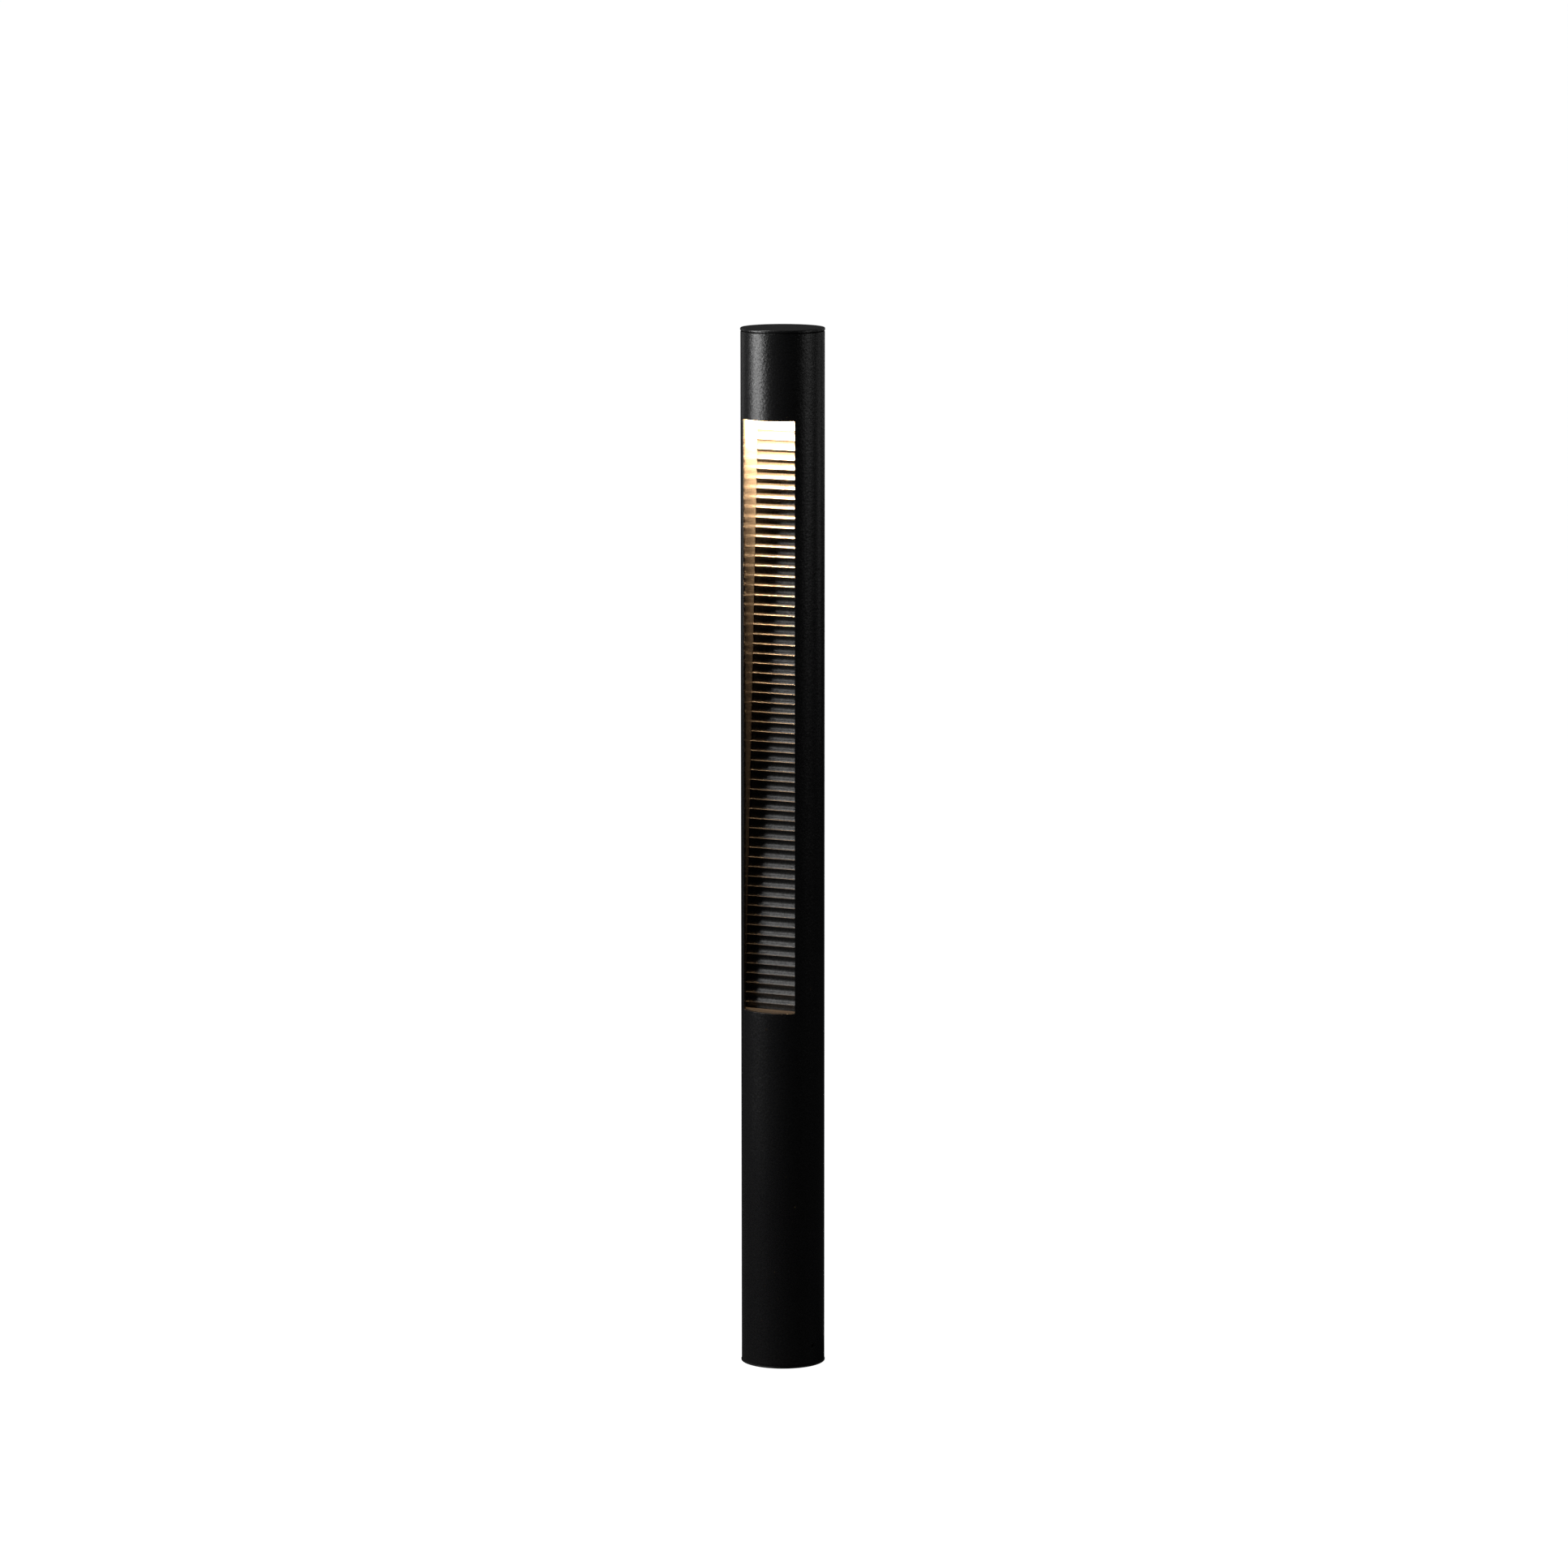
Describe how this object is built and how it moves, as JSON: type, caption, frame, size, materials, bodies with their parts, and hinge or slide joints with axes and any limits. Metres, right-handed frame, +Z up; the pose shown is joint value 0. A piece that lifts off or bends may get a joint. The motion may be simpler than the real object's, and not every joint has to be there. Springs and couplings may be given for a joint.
{
  "type": "bollard light",
  "caption": "Slim cylindrical bollard light: a black tube with a tall side window and an inclined fluted reflector lit from a lamp hidden in its head.",
  "frame": {"origin": "centre of the base plate's underside, on the post's axis", "axes": "+Z up along the post, -Y out of the window towards the lit side, +X to the right for someone who stands facing the window"},
  "size_m": [0.0808, 0.0808, 1],
  "materials": {
    "post_coat": "satin black powder coat with a fine texture",
    "well_coat": "satin black powder coat, slightly glossier",
    "base_coat": "black powder coat on cast aluminium",
    "seal_rubber": "matte black rubber",
    "stainless": "plain stainless steel",
    "black_steel": "blackened stainless steel",
    "zinc_sheet": "zinc-plated sheet",
    "cast_alu": "bare aluminium",
    "nickel_brass": "nickel-plated brass",
    "driver_case": "white moulded plastic",
    "terminal_plastic": "grey moulded plastic",
    "connector_plastic": "black moulded plastic",
    "cable_sheath": "black rubber sheath",
    "lead_sheath": "grey silicone sheath",
    "earth_sheath": "green and yellow insulation",
    "board_white": "white solder mask on aluminium",
    "thermal_pad": "soft grey-blue silicone",
    "phosphor": "yellow phosphor, glowing warm white",
    "diffuser": "frosted, lit from behind"
  },
  "bodies": {
    "base": {"base_flange": "base_coat", "foot_seal": "seal_rubber", "cable_gland_body": "nickel_brass", "gland_seal": "seal_rubber", "gland_dome_nut": "nickel_brass", "mains_cable": "cable_sheath", "gear_tray": "zinc_sheet", "tray_screw_left": "stainless", "tray_screw_right": "stainless", "terminal_block": "terminal_plastic", "terminal_block_screw": "stainless", "ac_lead": "cable_sheath", "led_driver": "driver_case", "driver_screw_lower": "stainless", "driver_screw_upper": "stainless", "earth_stud": "nickel_brass", "earth_nut": "stainless", "earth_lead": "earth_sheath", "driver_output_lead": "lead_sheath", "inline_socket": "connector_plastic"},
    "seat_ring": {"seat_gasket": "seal_rubber"},
    "post": {"post_tube": "post_coat", "light_well": "well_coat", "rib_panel": "well_coat", "panel_screw_lower": "stainless", "panel_screw_upper": "stainless", "insert_standoff_lower": "cast_alu", "insert_standoff_upper": "cast_alu", "insert_screw_lower": "black_steel", "insert_screw_upper": "black_steel", "inline_plug": "connector_plastic", "dc_lead": "lead_sheath", "lead_clip": "connector_plastic", "head_socket": "connector_plastic"},
    "head": {"cap": "post_coat", "cap_gasket": "seal_rubber", "heat_sink": "cast_alu", "head_bolt_left": "stainless", "head_bolt_right": "stainless", "thermal_pad": "thermal_pad", "led_board": "board_white", "led_emitter": "phosphor", "board_screw_left": "stainless", "board_screw_right": "stainless", "lens_gasket": "seal_rubber", "diffuser_lens": "diffuser", "lens_retainer": "cast_alu", "retainer_screw_left": "stainless", "retainer_screw_right": "stainless", "retainer_screw_front": "stainless", "led_pigtail": "lead_sheath", "head_plug": "connector_plastic"},
    "grub_right": {"grub_screw_right": "black_steel"},
    "grub_left": {"grub_screw_left": "black_steel"},
    "grub_rear": {"grub_screw_rear": "black_steel"},
    "cap_grub": {"cap_grub_screw": "black_steel"}
  },
  "joints": [
    {"name": "post_aim", "type": "hinge", "parent": "base", "child": "seat_ring", "pos_m": [0, 0, 0.0025], "axis": [0, 0, 1], "range_deg": [-180, 180]},
    {"name": "post_lift", "type": "slide", "parent": "seat_ring", "child": "post", "axis": [0, 0, 1], "range_m": [0, 0.32]},
    {"name": "head_lift", "type": "slide", "parent": "post", "child": "head", "axis": [0, 0, 1], "range_m": [0, 0.09]},
    {"name": "grub_right_travel", "type": "slide", "parent": "post", "child": "grub_right", "axis": [0.9483, -0.3173, 0], "range_m": [0, 0.0025]},
    {"name": "grub_left_travel", "type": "slide", "parent": "post", "child": "grub_left", "axis": [-0.9483, -0.3173, 0], "range_m": [0, 0.0025]},
    {"name": "grub_rear_travel", "type": "slide", "parent": "post", "child": "grub_rear", "axis": [0, 1, 0], "range_m": [0, 0.0025]},
    {"name": "cap_grub_travel", "type": "slide", "parent": "post", "child": "cap_grub", "axis": [0, 1, 0], "range_m": [0, 0.0025]}
  ]
}
